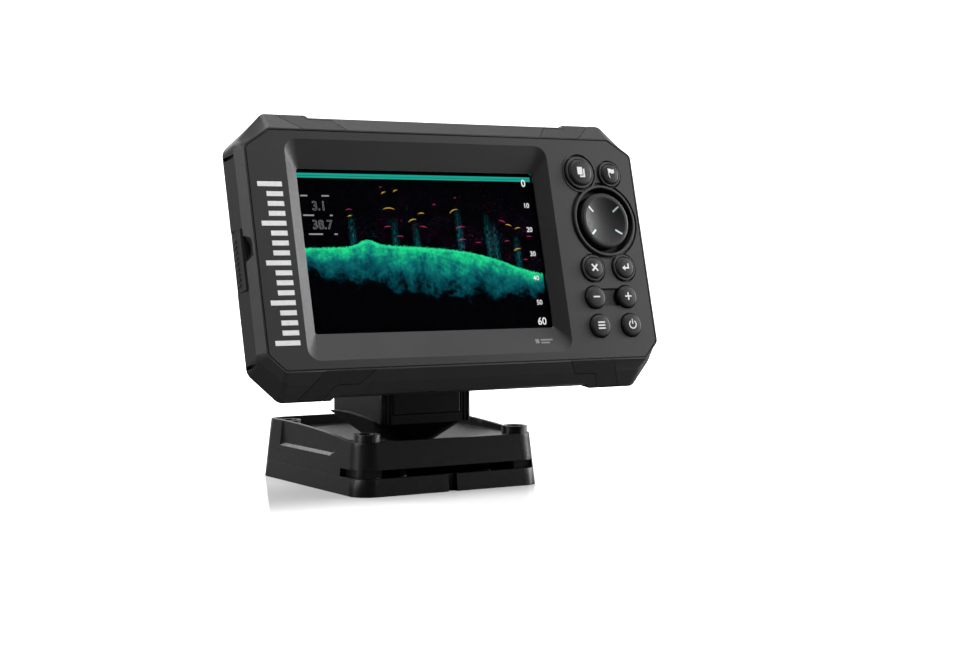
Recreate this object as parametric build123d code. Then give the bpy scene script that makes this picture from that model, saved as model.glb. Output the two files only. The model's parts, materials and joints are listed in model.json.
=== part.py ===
from build123d import *
import os
from math import cos, radians, sin, sqrt

os.makedirs("parts", exist_ok=True)

# Fish finder: a five inch display head on a tilting quick-release cradle and a swivelling base.
# Millimetres. Part frame: X right, Y to the back, Z up, origin under the middle of the base.
# Head frame: X right, Y back from the screen plane, Z up, before the head leans back.

# ---- driving dimensions: pose
LEAN = 14.33                    # degrees the display leans back at rest
SCREEN_POINT = (0, -47, 96.7)   # head frame origin, in the part frame
PIVOT_Y, PIVOT_Z = 56.0, -14.0  # tilt axis, in the head frame

# ---- driving dimensions: display head
FACE_Y = -3.65                  # front face, in front of the screen plane
SPLIT_Y = 1.0                   # joint between bezel and rear housing
BELT_Y = 8.0                    # deepest line of full outline
STEP_Y = 24.0                   # flat step around the rear hump
REAR_Y = 46.0                   # rear face
WALL = 2.6
RIM_WALL, RIM_Y = 4.8, 3.2      # thicker rim that carries the seal
BAND_TOP, BAND_BOTTOM = 52.85, -55.1   # plain bands between the raised corners
SCREEN_X = -13.0                # the screen sits left of the middle
SCREEN_W, SCREEN_H = 108.0, 64.8
RECESS_W, RECESS_H = 119.5, 86.4
BEZEL_WALL_Y = -1.4             # back of the bezel's wall behind the keypad
KEY_GAP, OPEN_KEY_GAP = 0.15, 0.5   # around keys with a collar, and around plain ones
COLLAR_RISE = 0.7               # key collars above the face
MOAT_DEPTH = 0.9                # groove around each collar

# Outlines of the head: depth, half width, top and bottom height, width and height of the cut at a
# top corner, the same at a bottom corner, corner radius
FACE = (FACE_Y, 89.5, 47.3, -47.3, (10.8, 7.1), (6.8, 6.8), 3.0)
SPLIT = (SPLIT_Y, 91.6, 54.1, -51.1, (13.1, 12.5), (10.2, 10.2), 4.0)
BELT = (BELT_Y, 93.2, 54.5, -56.8, (16.5, 13.9), (11.5, 11.5), 5.0)
STEP = (STEP_Y, 83.0, 47.5, -47.5, (15.0, 12.0), (11.0, 11.0), 5.0)
HUMP_FOOT = (STEP_Y - 4, 70.0, 42.0, -42.0, (12.0, 12.0), (12.0, 12.0), 5.0)
HUMP_TOP = (REAR_Y, 62.0, 34.0, -34.0, (10.0, 10.0), (10.0, 10.0), 4.0)

# Keys: x, z, radius, height of the top above the screen plane, collar width (0 for none)
KEYS = {
    "pages_key": (61.9, 32.2, 5.5, 5.3, 1.2),
    "waypoint_key": (77.1, 31.7, 4.3, 5.0, 0.9),
    "exit_key": (62.0, -8.7, 4.4, 5.0, 0.9),
    "enter_key": (77.6, -8.6, 4.4, 5.0, 0.9),
    "zoom_out_key": (60.9, -21.0, 4.6, 4.9, 0),
    "zoom_in_key": (76.9, -21.0, 4.6, 4.9, 0),
    "menu_key": (61.4, -33.0, 4.7, 4.9, 0),
    "power_key": (77.1, -33.0, 4.7, 4.9, 0),
}
DPAD_X, DPAD_Z = 71.3, 11.6
DPAD_R = 11.75
DPAD_FLANGE_R = 14.8
DPAD_HOLE_R = 14.1
RING_WIDTH = 1.1                # collar around the direction pad

# ---- driving dimensions: card door in the left side
DOOR_Z0, DOOR_Z1 = -14.8, 9.0
DOOR_SIDE_X = -92.6
DOOR_THICK = 1.9
DOOR_PIN_X, DOOR_PIN_Y, DOOR_PIN_R = -91.4, 8.3, 0.7
BAY_FLOOR_X = -84.6
BAY_Y0, BAY_Y1 = 2.6, 11.0

# ---- driving dimensions: sockets, dock and cradle
SOCKET_X = 43.0
SOCKETS = {"power": (13.5, 4), "sonar": (-12.5, 8)}   # height and number of contacts
COLLAR_R, COLLAR_BORE_R, COLLAR_END_Y = 8.5, 7.2, 53.0
FLANGE_HALF, TONGUE_HALF = 25.8, 20.8
FLANGE_Y0, FLANGE_Y1, TONGUE_Y1 = 38.2, 41.8, 47.0
CRADLE_Z0, CRADLE_Z1 = -32.0, 16.0
DOCK_GAP = 0.2
BARREL_R, BARREL_HALF = 8.0, 13.2
TILT_BOLT_R = 2.5
LEVER_Y, LEVER_Z = 50.5, 12.0
LEVER_PIN_R = 1.5

# ---- driving dimensions: neck
NECK_HALF_X = 21.3
NECK_FRONT_Y, NECK_BACK_Y = -23.0, 20.0
EAR_R, EAR_SLOT_HALF = 8.5, 14.0
BOWL_Z = 17.25
SPINDLE_R = 10.0

# ---- driving dimensions: base
BASE_HALF_X, BASE_CORNER_R = 43.0, 8.0
BASE_FRONT_Y, BASE_BACK_Y = -44.0, 47.4
PLATE_TOP, COVER_FOOT = 7.0, 7.1
DRAFT = 0.085                   # inward lean of the base walls, mm per mm
BASE_WALL = 2.6
DECK_Z = 20.5
DISH_R, DISH_INNER_R, DISH_INNER_Z = 39.0, 15.0, 15.4
MOUNT_X, MOUNT_Y = 34.6, 35.4   # mounting holes
MOUNT_HOLE_R = 2.3
POCKET_R, BOSS_R, BOSS_TOP_Z = 4.0, 5.3, 24.2

HEAD = Pos(*SCREEN_POINT) * Rot(-LEAN, 0, 0)
nodes = {}


# ---- helpers
def block(x0, x1, y0, y1, z0, z1):
    """Box from its corners."""
    return Pos((x0 + x1) / 2, (y0 + y1) / 2, (z0 + z1) / 2) * Box(x1 - x0, y1 - y0, z1 - z0)


def rod_x(radius, x0, x1, y=0, z=0):
    return Pos((x0 + x1) / 2, y, z) * Rot(0, 90, 0) * Cylinder(radius, x1 - x0)


def rod_y(radius, y0, y1, x=0, z=0):
    return Pos(x, (y0 + y1) / 2, z) * Rot(90, 0, 0) * Cylinder(radius, y1 - y0)


def rod_z(radius, z0, z1, x=0, y=0):
    return Pos(x, y, (z0 + z1) / 2) * Cylinder(radius, z1 - z0)


def lathe(points):
    """Solid of revolution about Z from (radius, height) points."""
    return revolve(Plane.XZ * make_face(Polyline(*points, close=True)), Axis.Z)


def profile_x(points, x0, x1):
    """Prism along X from (y, z) points."""
    return extrude(Plane.YZ.offset(x0) * make_face(Polyline(*points, close=True)), x1 - x0)


def prism_y(points, y0, y1):
    """Prism along Y from (x, z) points."""
    return extrude(Plane.XZ.offset(-y1) * make_face(Polyline(*points, close=True)), y1 - y0)


def facing(x, z):
    """Place a shape built about Z so that its +Z points out of the front of the head."""
    return Pos(x, 0, z) * Rot(90, 0, 0)


def section(y, half_x, top, bottom, top_cut, bottom_cut, radius):
    """Face across the head at depth y: a rectangle with cut and rounded corners."""
    points = [
        (-half_x, bottom + bottom_cut[1]), (-half_x + bottom_cut[0], bottom),
        (half_x - bottom_cut[0], bottom), (half_x, bottom + bottom_cut[1]),
        (half_x, top - top_cut[1]), (half_x - top_cut[0], top),
        (-half_x + top_cut[0], top), (-half_x, top - top_cut[1]),
    ]
    face = make_face(Polyline(*points, close=True))
    return Plane.XZ.offset(-y) * fillet(face.vertices(), radius)


def inset(outline, wall, y=None):
    """The same outline, moved in by a wall thickness and optionally to another depth."""
    depth, half_x, top, bottom, top_cut, bottom_cut, radius = outline

    def cut(width, height):
        slant = sqrt(width ** 2 + height ** 2)
        return (width + wall * (slant / height - width / height - 1),
                height + wall * (slant / width - height / width - 1))

    return (depth if y is None else y, half_x - wall, top - wall, bottom + wall,
            cut(*top_cut), cut(*bottom_cut), max(radius - wall, 1.0))


def between(first, second):
    """Solid between two outlines."""
    return loft([section(*first), section(*second)], ruled=True)


def both_sides(shape):
    return shape + mirror(shape, Plane.YZ)


def screw(shaft_r, length, head_r, head_h):
    """Pan head screw about Z, head above z = 0, shaft below, with a cross recess."""
    body = rod_z(shaft_r, -length, 0) + lathe([
        (0, 0), (head_r, 0), (head_r, head_h * 0.5), (head_r * 0.7, head_h), (0, head_h)])
    cross = Box(head_r, 0.5, head_h) + Box(0.5, head_r, head_h)
    return body - Pos(0, 0, head_h) * cross


# ---- display head: outer form, shared by the bezel, the rear housing and the corner inserts
front_form = between(FACE, SPLIT)
belt_form = between(SPLIT, BELT) + between(BELT, STEP)
hump_form = between(HUMP_FOOT, HUMP_TOP)
band_cut = prism_y([(-59, BAND_TOP), (59, BAND_TOP), (65, 60), (-65, 60)], FACE_Y - 1, STEP_Y)
band_cut += prism_y([(-58, BAND_BOTTOM), (58, BAND_BOTTOM), (63, -60), (-63, -60)], FACE_Y - 1, STEP_Y)
head_form = front_form + belt_form - band_cut


def insert_form(top, grow):
    """Corner insert on the right: a slanted tile that follows the bevel. Grown, it cuts its seat."""
    edge = FACE[2]
    knee, foot, shoulder, inner = (52.0, 64.0, 80.5, 69.0) if top else (51.6, 66.0, 77.0, 66.5)
    points = [(43.5, edge - 1), (foot - 1.5, edge - 1), (foot, edge), (shoulder, 60), (inner, 60),
              (59.5, knee), (49.5, knee), (45, edge)]
    outline = make_face(Polyline(*points, close=True))
    back = BELT_Y - 0.6
    if grow:
        outline = offset(outline, grow)
        back = BELT_Y
    tile = extrude(Plane.XZ.offset(-back) * outline, back - FACE_Y + 1)
    tile = tile & block(30, 90, FACE_Y - 1, BELT_Y, edge - 0.2, 60)
    if not top:
        tile = mirror(tile, Plane.XY)
    inward = Pos(0, 0.6, -1.2) if top else Pos(0, 1.3, 1.5)
    return tile & (head_form - inward * head_form)


insert_right = {top: insert_form(top, 0) for top in (True, False)}
insert_seat = {top: insert_form(top, 0.2) for top in (True, False)}
for top, level in ((True, "top"), (False, "bottom")):
    nodes[f"{level}_right_insert"] = HEAD * insert_right[top]
    nodes[f"{level}_left_insert"] = HEAD * mirror(insert_right[top], Plane.YZ)
insert_seats = both_sides(insert_seat[True]) + both_sides(insert_seat[False])

FLUSH_SLOTS = (36.4, -43.8)     # grooves in both sides, for the flush mounting clips

# Housing screws: eight, through posts in the rear housing into the bezel
SCREW_PLACES = [(x, z) for x in (-86, 86) for z in (-27, 27)] + \
               [(x, z) for x in (-50, 30) for z in (-44.5, 44.5)]


# Circuit board and the four places where it is screwed to bosses in the rear housing
BOARD_Y = 17.0
BOARD_PLACES = [(-74, 34), (-74, -34), (66, 34), (66, -34)]


# ---- front bezel
def screen_opening():
    """Sloped recess down to the screen, and the window through the bezel."""
    def size(y):
        part = y / FACE_Y
        return (SCREEN_W + (RECESS_W - SCREEN_W) * part, SCREEN_H + (RECESS_H - SCREEN_H) * part)

    outer = Plane.XZ.offset(-FACE_Y + 1) * RectangleRounded(*size(FACE_Y - 1), 6.5)
    inner = Plane.XZ * RectangleRounded(*size(0), 1.2)
    slope = loft([outer, inner], ruled=True)
    window = extrude(Plane.XZ.offset(-SPLIT_Y - 1) * RectangleRounded(SCREEN_W, SCREEN_H, 1.2),
                     SPLIT_Y + 2)
    return Pos(SCREEN_X, 0, 0) * (slope + window)


def collar(radius, width, height):
    """Raised ring on the face around a key."""
    ring = rod_z(radius + width, -FACE_Y - MOAT_DEPTH - 0.3, -FACE_Y + height) - rod_z(radius, 0, 10)
    return fillet(ring.edges().group_by(Axis.Z)[-1], min(0.25, width / 3))


def key_gap(collar_width):
    """Gap around a key in its hole."""
    return KEY_GAP if collar_width else OPEN_KEY_GAP


def make_bezel():
    body = front_form - band_cut - screen_opening()
    body -= block(52.5, 83.4, BEZEL_WALL_Y, SPLIT_Y + 1, -42, 42)
    body -= rod_y(DPAD_FLANGE_R + 0.4, BEZEL_WALL_Y, SPLIT_Y + 1, DPAD_X, DPAD_Z)
    rim = section(*inset(FACE, 0.5, FACE_Y + 0.5)) - section(*inset(FACE, 1.0, FACE_Y + 0.5))
    body -= extrude(rim, 1)
    rings = [(DPAD_X, DPAD_Z, DPAD_HOLE_R, RING_WIDTH, 1.3, COLLAR_RISE - 0.15)]
    for x, z, radius, _, width in KEYS.values():
        if width:
            rings.append((x, z, radius + KEY_GAP, width, 0.8, COLLAR_RISE))
    for x, z, radius, width, moat, _ in rings:
        groove = rod_z(radius + width + moat, -FACE_Y - MOAT_DEPTH, -FACE_Y + 2) - rod_z(radius, 0, 10)
        body -= facing(x, z) * groove
    x, z, radius, _, width = KEYS["pages_key"]
    body += facing(x, z) * collar(radius + KEY_GAP + width + 0.8, 0.8, 0.3)
    for x, z, radius, width, _, rise in rings:
        body += facing(x, z) * collar(radius, width, rise)
    for x, z, radius, _, width in KEYS.values():
        body -= rod_y(radius + key_gap(width), FACE_Y - 3, SPLIT_Y, x, z)
    body -= rod_y(DPAD_HOLE_R, FACE_Y - 3, SPLIT_Y, DPAD_X, DPAD_Z)
    body -= bridge_form(0.1)
    body -= insert_seats
    for x, z in SCREW_PLACES:
        body -= rod_y(1.5, -1.6, SPLIT_Y + 1, x, z)
    finger_notch = rod_y(6.5, FACE_Y + 1.0, SPLIT_Y + 1, DOOR_SIDE_X - 3.0, 1.0)
    return body - finger_notch


def bridge_form(grow):
    """Sunk strip between the two zoom keys."""
    left, right = KEYS["zoom_out_key"], KEYS["zoom_in_key"]
    top = FACE_Y - 1 if grow else FACE_Y + 1.0
    strip = block(left[0], right[0], top, FACE_Y + 1.65 + grow, left[1] - 3.6 - grow, left[1] + 3.6 + grow)
    ring = OPEN_KEY_GAP if grow else OPEN_KEY_GAP + 0.35
    for x, z, radius, _, _ in (left, right):
        strip -= rod_y(radius + ring, FACE_Y - 2, SPLIT_Y, x, z)
    return strip


nodes["front_bezel"] = HEAD * make_bezel()
nodes["zoom_bridge"] = HEAD * bridge_form(0)


# ---- keys
def make_key(radius, top):
    """Key cap with a crowned top, a retaining flange and a short stem."""
    return lathe([
        (0, -0.6), (radius - 1.2, -0.6), (radius - 1.2, 0.3), (radius + 1.1, 0.3), (radius + 1.1, 1.2),
        (radius, 1.2), (radius, top - 0.7), (radius - 0.25, top - 0.25), (radius - 0.8, top),
        (radius * 0.5, top + 0.18), (0, top + 0.22)])


for name, (x, z, radius, top, _) in KEYS.items():
    nodes[name] = HEAD * facing(x, z) * make_key(radius, top)

dish = Pos(0, 0, 4.6 + 28.0) * Sphere(29.6)
dpad = lathe([(0, -0.5), (DPAD_FLANGE_R, -0.5), (DPAD_FLANGE_R, 0.15), (DPAD_R, 0.15), (DPAD_R, 4.1),
              (DPAD_R - 0.3, 4.5), (DPAD_R - 0.9, 4.7), (0, 4.7)]) - dish
nodes["dpad"] = HEAD * facing(DPAD_X, DPAD_Z) * dpad
nodes["dpad_rocker"] = HEAD * facing(DPAD_X, DPAD_Z) * (rod_z(3.5, -1.45, -0.95) - rod_z(1.0, -2, 0))

# ---- keypad stack behind the keys
MAT_Y, DOME_Y, KEYBOARD_Y = 1.8, 2.9, 3.3
key_spots = [(x, z) for x, z, *_ in KEYS.values()]
dpad_spots = [(DPAD_X + dx, DPAD_Z + dz) for dx, dz in ((9, 0), (-9, 0), (0, 9), (0, -9))]
mat = block(54.5, 82.0, MAT_Y, MAT_Y + 1.0, -40, 40)
keyboard = block(54.5, 82.0, KEYBOARD_Y, KEYBOARD_Y + 1.6, -40, 40)
domes = Compound(children=[
    Pos(x, 0, z) * Rot(90, 0, 0) * Pos(0, 0, -KEYBOARD_Y) * (rod_z(2.8, 0, 0.35) - rod_z(0.5, -1, 1))
    for x, z in key_spots + dpad_spots])
nodes["key_mat"] = HEAD * mat
nodes["key_domes"] = HEAD * domes
nodes["keypad_board"] = HEAD * keyboard

# ---- screen stack
lens_window = extrude(Plane.XZ.offset(-SPLIT_Y - 0.05)
                      * RectangleRounded(SCREEN_W - 0.2, SCREEN_H - 0.2, 1.3), SPLIT_Y - 0.1)
lens = lens_window + block(-59.5, 59.5, SPLIT_Y + 0.05, SPLIT_Y + 1.4, -38, 38)
nodes["screen_lens"] = HEAD * Pos(SCREEN_X, 0, 0) * lens
nodes["lcd_panel"] = HEAD * Pos(SCREEN_X, 0, 0) * block(-58, 58, 2.6, 4.4, -36.5, 36.5)
nodes["backlight"] = HEAD * Pos(SCREEN_X, 0, 0) * block(-58, 58, 4.5, 8.3, -36.5, 36.5)
lcd_frame = block(-61, 61, 2.6, 9.6, -39.5, 39.5) - block(-58.2, 58.2, 1, 8.5, -36.7, 36.7)
lcd_frame -= block(-40, 40, 8, 11, -20, 20)
nodes["lcd_frame"] = HEAD * Pos(SCREEN_X, 0, 0) * lcd_frame


# ---- rear housing
def make_rear_housing():
    outer = belt_form - band_cut + hump_form
    rim_end = (RIM_Y, *SPLIT[1:])
    cavity = between(inset(SPLIT, RIM_WALL), inset(rim_end, RIM_WALL))
    cavity += between(inset(rim_end, WALL), inset(BELT, WALL))
    cavity += between(inset(BELT, WALL), inset(STEP, WALL, STEP_Y - WALL))
    cavity += between(inset(HUMP_FOOT, WALL), inset(HUMP_TOP, WALL, REAR_Y - WALL))
    dock_block = block(-30, 30, 33, REAR_Y, -50, 21) & hump_form
    bay_block = block(-95, BAY_FLOOR_X + 2, SPLIT_Y, BAY_Y1 + 2, DOOR_Z0 - 3, DOOR_Z1 + 3) & outer
    socket_block = Compound(children=[rod_y(11, 34, REAR_Y, SOCKET_X, z) for z, _ in SOCKETS.values()])
    posts = Compound(children=[rod_y(3.6, SPLIT_Y, 30, x, z) for x, z in SCREW_PLACES]) & outer
    bosses = Compound(children=[rod_y(3.2, BOARD_Y + 1.7, STEP_Y - 0.6, x, z) for x, z in BOARD_PLACES])
    body = outer - cavity + dock_block + bay_block + (socket_block & hump_form) + posts + bosses
    # dock for the cradle, open at the bottom
    body -= block(-FLANGE_HALF - DOCK_GAP, FLANGE_HALF + DOCK_GAP, FLANGE_Y0 - DOCK_GAP,
                  FLANGE_Y1 + DOCK_GAP, -60, CRADLE_Z1 + DOCK_GAP)
    body -= block(-TONGUE_HALF - DOCK_GAP, TONGUE_HALF + DOCK_GAP, FLANGE_Y1, 60, -60,
                  CRADLE_Z1 + DOCK_GAP)
    body -= block(-5.6, 5.6, 35.4, FLANGE_Y0, -60, 8)
    # screw holes with counterbores
    for x, z in SCREW_PLACES:
        head_seat = 12.0 if abs(x) > 80 else 11.0
        body -= rod_y(1.55, 0, 30, x, z) + rod_y(2.9, head_seat, 30, x, z)
    for x, z in BOARD_PLACES:
        body -= rod_y(1.45, BOARD_Y, STEP_Y - 1.3, x, z)
    # card bay, its slot into the card socket and the holes for the hinge pin
    body -= block(-96, DOOR_SIDE_X + DOOR_THICK + 0.2, SPLIT_Y - 1, DOOR_PIN_Y + 1.75, DOOR_Z0, DOOR_Z1)
    body -= block(DOOR_SIDE_X, BAY_FLOOR_X, BAY_Y0, BAY_Y1, DOOR_Z0, DOOR_Z1) \
        - block(DOOR_SIDE_X - 1, DOOR_PIN_X + 1.9, DOOR_PIN_Y + 1.75, 20, DOOR_Z0, DOOR_Z1)
    body -= rod_z(DOOR_PIN_R, DOOR_Z0 - 1.6, DOOR_Z1 + 1.6, DOOR_PIN_X, DOOR_PIN_Y)
    body -= block(BAY_FLOOR_X - 1, BAY_FLOOR_X + 4, 6.1, 7.7, -9, 3.2)
    # socket bores, cable vent and the flush-fit slots in the sides
    for z, _ in SOCKETS.values():
        body -= rod_y(COLLAR_R - 0.5, 20, 60, SOCKET_X, z)
        body -= rod_y(10.6, REAR_Y - 1.5, 60, SOCKET_X, z)
    body -= rod_y(2.0, 30, 60, -44, 18) + rod_y(5.0, REAR_Y - 1.0, 60, -44, 18)
    for z in FLUSH_SLOTS:
        body -= both_sides(block(91.2, 96, SPLIT_Y + 0.4, BELT_Y, z, z + 1.4))
    # grooves across the rear face, over the buzzer
    for row in range(5):
        body -= block(-56, -32, REAR_Y - 1.0, 60, 7.0 - 3.2 * row, 8.2 - 3.2 * row)
    body -= seal_form(0.05)
    body -= insert_seats
    return body


def seal_form(grow):
    """Cord seal in the rim of the rear housing."""
    outer = section(*inset(SPLIT, 2.6 - grow))
    inner = section(*inset(SPLIT, 3.8 + grow))
    return Pos(0, 0.05, 0) * extrude(outer - inner, -0.9 - grow)


nodes["rear_housing"] = HEAD * make_rear_housing()
nodes["housing_seal"] = HEAD * seal_form(0)
housing_screws = Compound(children=[
    Pos(x, 12.0 if abs(x) > 80 else 11.0, z) * Rot(-90, 0, 0)
    * screw(1.45, 13.2 if abs(x) > 80 else 12.2, 2.6, 1.6)
    for x, z in SCREW_PLACES])
nodes["housing_screws"] = HEAD * housing_screws

# ---- electronics
board = block(-78, 70, BOARD_Y, BOARD_Y + 1.6, -38, 38)
for x, z in BOARD_PLACES:
    board -= rod_y(1.6, 10, 20, x, z)
nodes["main_board"] = HEAD * board
nodes["board_screws"] = HEAD * Compound(children=[
    Pos(x, BOARD_Y, z) * Rot(90, 0, 0) * screw(1.4, 5.5, 2.6, 1.4) for x, z in BOARD_PLACES])
shield = block(-60, -20, BOARD_Y + 1.6, BOARD_Y + 6.6, -20, 20)
shield -= block(-59.5, -20.5, BOARD_Y + 1, BOARD_Y + 6.1, -19.5, 19.5)
nodes["sonar_shield"] = HEAD * shield
nodes["gps_antenna"] = HEAD * block(-12.5, 12.5, BOARD_Y - 5.2, BOARD_Y, 13, 37)
nodes["buzzer"] = HEAD * (rod_y(6.0, BOARD_Y + 1.6, BOARD_Y + 7.6, -44, 29)
                          - rod_y(1.0, BOARD_Y + 5, BOARD_Y + 9, -44, 29))
flex = block(-20, 4, 10.0, 10.25, -36, -6) + block(-20, 4, 10.0, BOARD_Y, -36.25, -36)
nodes["display_flex"] = HEAD * flex
card_socket = block(BAY_FLOOR_X + 2.1, -74.4, 5.6, 8.2, -10, 4.2)
card_socket -= block(BAY_FLOOR_X + 1, -75.4, 6.1, 7.7, -9, 3.2)
nodes["card_socket"] = HEAD * card_socket


# ---- sockets
def make_socket(contacts):
    """Round bulkhead connector: collar, body through the wall and a contact carrier."""
    body = rod_y(COLLAR_R - 0.55, 38, 47, 0, 0) + rod_y(COLLAR_R, REAR_Y - 1.45, COLLAR_END_Y)
    body -= rod_y(COLLAR_BORE_R, 43.0, 60)
    for x, z in contact_places(contacts):
        body -= rod_y(0.5, 36, 44, x, z)
    return body


def contact_places(contacts):
    ring = 4.4 if contacts > 4 else 2.8
    return [(ring * cos(radians(360 * i / contacts + 45)), ring * sin(radians(360 * i / contacts + 45)))
            for i in range(contacts)]


for name, (z, contacts) in SOCKETS.items():
    place = HEAD * Pos(SOCKET_X, 0, z)
    nodes[f"{name}_socket"] = place * make_socket(contacts)
    nodes[f"{name}_contacts"] = place * Compound(children=[
        rod_y(0.45, 37.0, 46.6, x, dz) for x, dz in contact_places(contacts)])
nodes["vent_membrane"] = HEAD * (rod_y(4.8, REAR_Y - 0.95, REAR_Y - 0.35, -44, 18))


# ---- card door
def make_door():
    z0, z1 = DOOR_Z0 + 0.25, DOOR_Z1 - 0.25
    plate = block(DOOR_SIDE_X, DOOR_SIDE_X + DOOR_THICK, SPLIT_Y + 0.25, DOOR_PIN_Y, z0, z1)
    barrel = rod_z(1.4, z0, z1, DOOR_PIN_X, DOOR_PIN_Y)
    lip = block(DOOR_SIDE_X + DOOR_THICK, DOOR_SIDE_X + DOOR_THICK + 1.4, BAY_Y0 + 0.3, BAY_Y0 + 1.4,
                z0 + 2, z1 - 2)
    ribs = Compound(children=[
        block(DOOR_SIDE_X - 0.35, DOOR_SIDE_X, 5.2, 7.4, z0 + 2.2 + 2.1 * i, z0 + 3.2 + 2.1 * i)
        for i in range(9)])
    door = plate + barrel + lip + ribs
    return door - rod_z(DOOR_PIN_R + 0.05, DOOR_Z0, DOOR_Z1, DOOR_PIN_X, DOOR_PIN_Y)


nodes["card_door"] = HEAD * make_door()
nodes["door_pin"] = HEAD * rod_z(DOOR_PIN_R - 0.02, DOOR_Z0 - 1.5, DOOR_Z1 + 1.5, DOOR_PIN_X, DOOR_PIN_Y)


# ---- cradle: the head slides down onto it
def make_cradle():
    body = block(-FLANGE_HALF, FLANGE_HALF, FLANGE_Y0, FLANGE_Y1, CRADLE_Z0, CRADLE_Z1)
    body += block(-TONGUE_HALF, TONGUE_HALF, FLANGE_Y1, TONGUE_Y1, CRADLE_Z0, CRADLE_Z1)
    body += rod_x(BARREL_R, -BARREL_HALF, BARREL_HALF, PIVOT_Y, PIVOT_Z)
    body += block(-BARREL_HALF, BARREL_HALF, TONGUE_Y1 - 1, PIVOT_Y, PIVOT_Z - BARREL_R, PIVOT_Z + BARREL_R)
    lever_ear = block(9.2, 12.2, TONGUE_Y1 - 1, LEVER_Y, LEVER_Z - 3, LEVER_Z + 3)
    lever_ear += rod_x(3.0, 9.2, 12.2, LEVER_Y, LEVER_Z)
    body += both_sides(lever_ear)
    body -= block(-6.2, 6.2, 30, TONGUE_Y1 + 1, -6.4, 4.5)
    body -= rod_x(TILT_BOLT_R + 0.05, -20, 20, PIVOT_Y, PIVOT_Z)
    body -= rod_x(LEVER_PIN_R + 0.02, -20, 20, LEVER_Y, LEVER_Z)
    return body


def make_lever():
    """Release lever: thumb pad above its pin, hooked nose below it."""
    hub = rod_x(2.9, -8.9, 8.9, LEVER_Y, LEVER_Z)
    pad = profile_x([(48.9, LEVER_Z), (52.8, LEVER_Z), (56.2, 25.5), (55.6, 27.5), (53.6, 27.5),
                     (51.4, 20.0)], -8.9, 8.9)
    arm = block(-4.8, 4.8, 48.6, 52.2, -2.6, LEVER_Z) + block(-4.8, 4.8, 36.4, 52.2, -2.6, 1.4)
    grips = Compound(children=[
        profile_x([(53.0 + 0.26 * i * 1.6, 15.6 + 2.0 * i), (54.3 + 0.26 * i * 1.6, 16.0 + 2.0 * i),
                   (53.2 + 0.26 * i * 1.6, 16.8 + 2.0 * i)], -7.5, 7.5) for i in range(5)])
    lever = hub + pad + arm + grips
    lever -= block(-3.4, 3.4, 40, 60, LEVER_Z - 4.2, LEVER_Z + 4.2) & rod_x(4.2, -9, 9, LEVER_Y, LEVER_Z)
    return lever - rod_x(LEVER_PIN_R + 0.05, -20, 20, LEVER_Y, LEVER_Z)


nodes["tilt_cradle"] = HEAD * make_cradle()
nodes["release_lever"] = HEAD * make_lever()
nodes["release_pin"] = HEAD * rod_x(LEVER_PIN_R, -12.2, 12.2, LEVER_Y, LEVER_Z)
coil_path = Helix(pitch=0.95, height=4.75, radius=2.3)
coil = sweep(Plane(coil_path @ 0, z_dir=coil_path % 0) * Circle(0.36), path=coil_path)
nodes["release_spring"] = HEAD * Pos(-2.4, LEVER_Y, LEVER_Z) * Rot(0, 90, 0) * coil

# ---- neck: bowl, column and hinge ears
pivot = HEAD * Pos(0, PIVOT_Y, PIVOT_Z)
AXIS_Y, AXIS_Z = pivot.position.Y, pivot.position.Z


def ledge_line(drop=0):
    """Arched line along which the column meets the bowl, seen from the side."""
    return ThreePointArc((NECK_BACK_Y + 3, 28.7 - drop), (-1.7, 29.2 - drop),
                         (NECK_FRONT_Y - 3, 25.0 - drop))


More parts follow.
